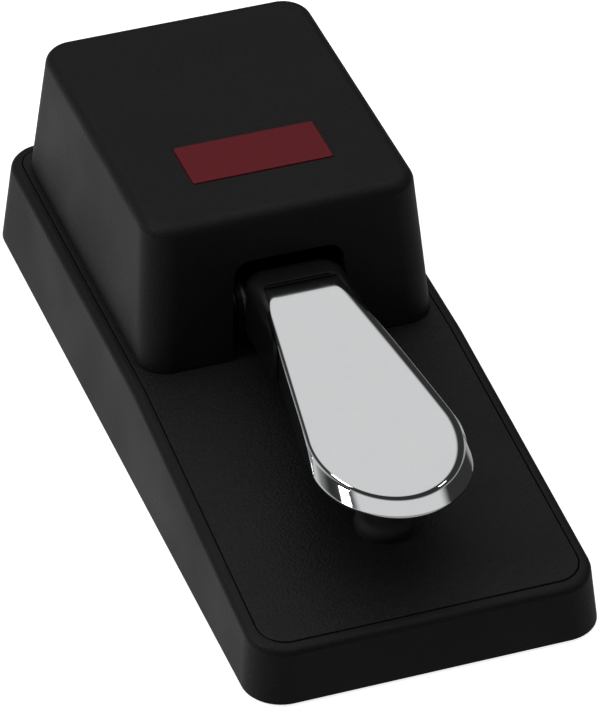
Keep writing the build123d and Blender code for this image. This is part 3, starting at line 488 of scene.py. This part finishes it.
def screw_tree():
    """A screw put on every point: a tapered head with a cross drive, a shank and a helical thread."""
    tree = bpy.data.node_groups.new("pan_head_screws", "GeometryNodeTree")
    ports = tree.interface
    ports.new_socket("Points", in_out="INPUT", socket_type="NodeSocketGeometry")
    for name in ("Head radius", "Head height", "Shank radius", "Length", "Pitch", "Drive width"):
        ports.new_socket(name, in_out="INPUT", socket_type="NodeSocketFloat")
    ports.new_socket("Finish", in_out="INPUT", socket_type="NodeSocketMaterial")
    ports.new_socket("Screws", in_out="OUTPUT", socket_type="NodeSocketGeometry")
    given = add(tree, "NodeGroupInput").outputs
    # The head narrows towards its crown, and two crossed bars cut its drive.
    crown = add(tree, "ShaderNodeMath", {"operation": "MULTIPLY"}, _0=given["Head radius"],
                _1=HEAD_CROWN_SHARE)
    dome = add(tree, "GeometryNodeMeshCone", Vertices=40, Radius_Top=given["Head radius"],
               Radius_Bottom=crown.outputs[0], Depth=given["Head height"])
    drop = add(tree, "ShaderNodeMath", {"operation": "MULTIPLY"}, _0=given["Head height"], _1=-1.0)
    drop_place = add(tree, "ShaderNodeCombineXYZ", Z=drop.outputs[0])
    head = add(tree, "GeometryNodeTransform", Geometry=dome.outputs["Mesh"],
               Translation=drop_place.outputs[0])
    reach = add(tree, "ShaderNodeMath", {"operation": "MULTIPLY"}, _0=given["Head radius"], _1=DRIVE_SHARE)
    along = add(tree, "ShaderNodeCombineXYZ", X=reach.outputs[0], Y=given["Drive width"],
                Z=DRIVE_HEIGHTS[0] * MM)
    across = add(tree, "ShaderNodeCombineXYZ", X=given["Drive width"], Y=reach.outputs[0],
                 Z=DRIVE_HEIGHTS[1] * MM)
    cut = head
    for size in (along, across):
        bar = add(tree, "GeometryNodeMeshCube", Size=size.outputs[0])
        sunk = add(tree, "GeometryNodeTransform", Geometry=bar.outputs["Mesh"],
                   Translation=drop_place.outputs[0])
        cut = add(tree, "GeometryNodeMeshBoolean", {"operation": "DIFFERENCE", "solver": "EXACT"},
                  _0=cut.outputs[0], _1=sunk.outputs[0])
    # The thread is a small ridge swept along a helix that runs up the shank.
    run = add(tree, "ShaderNodeMath", {"operation": "MULTIPLY"}, _0=given["Length"], _1=THREAD_SHARE)
    turns = add(tree, "ShaderNodeMath", {"operation": "DIVIDE"}, _0=run.outputs[0], _1=given["Pitch"])
    ridge = add(tree, "ShaderNodeMath", {"operation": "MULTIPLY"}, _0=given["Pitch"], _1=RIDGE_SHARE)
    core = add(tree, "ShaderNodeMath", {"operation": "SUBTRACT"}, _0=given["Shank radius"],
               _1=ridge.outputs[0])
    helix = add(tree, "GeometryNodeCurveSpiral", Resolution=20, Rotations=turns.outputs[0],
                Start_Radius=core.outputs[0], End_Radius=core.outputs[0], Height=run.outputs[0])
    section = add(tree, "GeometryNodeCurvePrimitiveCircle", Resolution=6, Radius=ridge.outputs[0])
    thread = add(tree, "GeometryNodeCurveToMesh", Curve=helix.outputs[0], Profile_Curve=section.outputs[0])
    thread.inputs["Fill Caps"].default_value = True
    start = add(tree, "ShaderNodeMath", {"operation": "MULTIPLY"}, _0=given["Length"], _1=THREAD_START_SHARE)
    start_place = add(tree, "ShaderNodeCombineXYZ", Z=start.outputs[0])
    thread_lift = add(tree, "GeometryNodeTransform", Geometry=thread.outputs[0],
                      Translation=start_place.outputs[0])
    shank = add(tree, "GeometryNodeMeshCone", Vertices=28, Radius_Top=core.outputs[0],
                Radius_Bottom=core.outputs[0],
                Depth=given["Length"])
    whole = add(tree, "GeometryNodeJoinGeometry")
    for part in (cut, shank, thread_lift):
        feed(tree, part.outputs[0], whole.inputs[0])
    placed = add(tree, "GeometryNodeInstanceOnPoints", Points=given["Points"], Instance=whole.outputs[0])
    real = add(tree, "GeometryNodeRealizeInstances", Geometry=placed.outputs[0])
    finish = add(tree, "GeometryNodeSetMaterial", Geometry=real.outputs[0], Material=given["Finish"])
    add(tree, "NodeGroupOutput", Screws=finish.outputs[0])
    return tree


def separate_bodies(node):
    """The corners of each separate body in a CAD node; corners that share a place are welded first."""
    mesh = bmesh.new()
    mesh.from_mesh(frame["nodes"][node].data)
    bmesh.ops.remove_doubles(mesh, verts=mesh.verts, dist=WELD * MM)
    left, found = set(mesh.verts), []
    while left:
        group, front = [], [left.pop()]
        while front:
            here = front.pop()
            group.append(here.co.copy())
            for edge in here.link_edges:
                other = edge.other_vert(here)
                if other in left:
                    left.remove(other)
                    front.append(other)
        found.append(group)
    mesh.free()
    return found


def make_screws(node, body, count):
    """One mesh for a set of screws, driven upwards from below as in the CAD."""
    spots = []
    for island in separate_bodies(node):
        low, high = min(v.z for v in island), max(v.z for v in island)
        middle = [(min(v[i] for v in island) + max(v[i] for v in island)) / 2 for i in (0, 1)]
        spots.append((middle[0], middle[1], low, high, max(abs(v.x - middle[0]) for v in island)))
    # The longest screw comes first and sets the length of all; a fixed order gives the same result each run.
    spots.sort(key=lambda spot: (spot[2] - spot[3], spot[0], spot[1]))
    if len(spots) != count:
        raise ValueError(f"{node} should hold {count} screws, not {len(spots)}")
    _, _, low, high, wide = spots[0]
    points = bpy.data.meshes.new(node + "_points")
    points.from_pydata([(x, y, z + SCREW_HEAD * MM) for x, y, z, _, _ in spots], [], [])
    piece = bpy.data.objects.new(node + "_visual", points)
    bpy.context.scene.collection.objects.link(piece)
    change = piece.modifiers.new("screws", "NODES")
    change.node_group = SCREWS
    given = {"Head radius": wide, "Head height": SCREW_HEAD * MM, "Shank radius": SCREW_SHANK * MM,
             "Length": high - low - SCREW_HEAD * MM, "Pitch": SCREW_PITCH * MM,
             "Drive width": SCREW_DRIVE_WIDTH * MM, "Finish": finishes["zinc_steel"]}
    for port in SCREWS.interface.items_tree:
        if port.in_out == "INPUT" and port.name in given:
            change[port.identifier] = given[port.name]
    graph = bpy.context.evaluated_depsgraph_get()
    data = bpy.data.meshes.new_from_object(piece.evaluated_get(graph), depsgraph=graph)
    piece.modifiers.remove(change)
    piece.data = data
    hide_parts(node)
    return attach(piece, body)


SCREWS = screw_tree()
make_screws("case_screws", "body", 6)


# ---------------------------------------------------------------- studio

def make_backdrop():
    """A pale floor that sweeps up into a wall all round; the camera sees it, reflections do not."""
    mesh = bmesh.new()
    count = BACKDROP_SIDES
    profile = [(r, 0.0) for r in (0.5, 1.5, 3.5, FLOOR_RADIUS)]
    profile += [(FLOOR_RADIUS + SWEEP * math.sin(math.radians(a)), SWEEP * (1 - math.cos(math.radians(a))))
                for a in range(10, 91, 10)]
    profile.append((FLOOR_RADIUS + SWEEP, WALL_HEIGHT))
    rings = [[mesh.verts.new((r * math.cos(math.tau * i / count), r * math.sin(math.tau * i / count), z))
              for i in range(count)] for r, z in profile]
    for first, second in zip(rings, rings[1:]):
        bridge(mesh, first, second)
    mesh.faces.new(rings[0])
    paper, _, shader, _ = begin("pale_studio_paper")
    shader.inputs["Base Color"].default_value = linear("#e6e6e6")
    shader.inputs["Roughness"].default_value = 0.9
    shader.inputs["Specular IOR Level"].default_value = 0.0
    shader.inputs["Emission Color"].default_value = (1.0, 1.0, 1.0, 1.0)
    shader.inputs["Emission Strength"].default_value = 0.86
    backdrop = settle("studio_paper", mesh, paper)
    backdrop.visible_glossy = False
    backdrop.visible_diffuse = False


def make_panel(name, place, aim, size, power, shape="RECTANGLE"):
    """A soft light panel that looks at a point."""
    data = bpy.data.lights.new(name, "AREA")
    data.shape = shape
    data.size, data.size_y = size
    data.energy = power
    light = bpy.data.objects.new(name, data)
    bpy.context.scene.collection.objects.link(light)
    light.location = place
    light.rotation_euler = (Vector(aim) - Vector(place)).to_track_quat("-Z", "Y").to_euler()
    light.visible_camera = False


def direction_share(tree, direction, towards, low, high):
    """How far a direction lies towards another, as a share that goes softly from 0 to 1."""
    lean = add(tree, "ShaderNodeVectorMath", {"operation": "DOT_PRODUCT"}, _0=direction, _1=towards)
    node = add(tree, "ShaderNodeMapRange", {"interpolation_type": "SMOOTHSTEP"}, Value=lean.outputs["Value"])
    node.inputs["From Min"].default_value = low
    node.inputs["From Max"].default_value = high
    return node.outputs[0]


def make_surroundings():
    """A studio that is pale overhead and behind, dim at the left and dark on the player's side."""
    world = bpy.data.worlds.new("studio")
    bpy.context.scene.world = world
    world.use_nodes = True
    tree = world.node_tree
    tree.nodes.clear()
    direction = add(tree, "ShaderNodeTexCoord").outputs["Generated"]
    overhead = direction_share(tree, direction, SKY_TOWARDS, SKY_EDGE, SKY_FULL)
    below = direction_share(tree, direction, (0.0, 0.0, -1.0), 0.02, 0.3)
    beside = direction_share(tree, direction, (-0.55, 0.55, -0.63), 0.45, 0.9)
    sky = add(tree, "ShaderNodeMath", {"operation": "MULTIPLY"}, _0=overhead, _1=SKY_LEVEL)
    side = add(tree, "ShaderNodeMath", {"operation": "MULTIPLY"}, _0=beside, _1=SIDE_LEVEL)
    low = add(tree, "ShaderNodeMath", {"operation": "MULTIPLY_ADD"}, _0=below, _1=FLOOR_LEVEL,
              _2=side.outputs[0])
    total = add(tree, "ShaderNodeMath", {"operation": "ADD"}, _0=sky.outputs[0], _1=low.outputs[0])
    level = add(tree, "ShaderNodeMath", {"operation": "ADD"}, _0=total.outputs[0], _1=DIM_LEVEL)
    air = add(tree, "ShaderNodeBackground", Color=(1.0, 1.0, 1.0, 1.0), Strength=level.outputs[0])
    add(tree, "ShaderNodeOutputWorld", Surface=air.outputs[0])


def make_camera():
    heading, lift = math.radians(VIEW_HEADING), math.radians(VIEW_ELEVATION)
    back = Vector((math.sin(heading) * math.cos(lift), -math.cos(heading) * math.cos(lift), math.sin(lift)))
    data = bpy.data.cameras.new("camera")
    data.lens = LENS_MM
    data.sensor_width = 36.0
    data.shift_x = SHIFT_X
    data.shift_y = SHIFT_Y
    camera = bpy.data.objects.new("camera", data)
    bpy.context.scene.collection.objects.link(camera)
    turn = (-back).to_track_quat("-Z", "Y").to_matrix().to_4x4()
    roll = Matrix.Rotation(math.radians(VIEW_ROLL), 4, "Z")
    camera.matrix_world = Matrix.Translation(Vector(VIEW_AIM) + back * VIEW_DISTANCE) @ turn @ roll
    bpy.context.scene.camera = camera


make_backdrop()
make_surroundings()
make_panel("left_softbox", (-1.1, 0.0, 0.95), (0.0, 0.0, 0.03), (0.5, 0.3), 5.2)
make_panel("right_softbox", (1.05, -0.5, 0.85), (0.0, -0.05, 0.03), (0.3, 0.16), 1.2)
make_camera()
bpy.context.scene.view_settings.view_transform = "Standard"
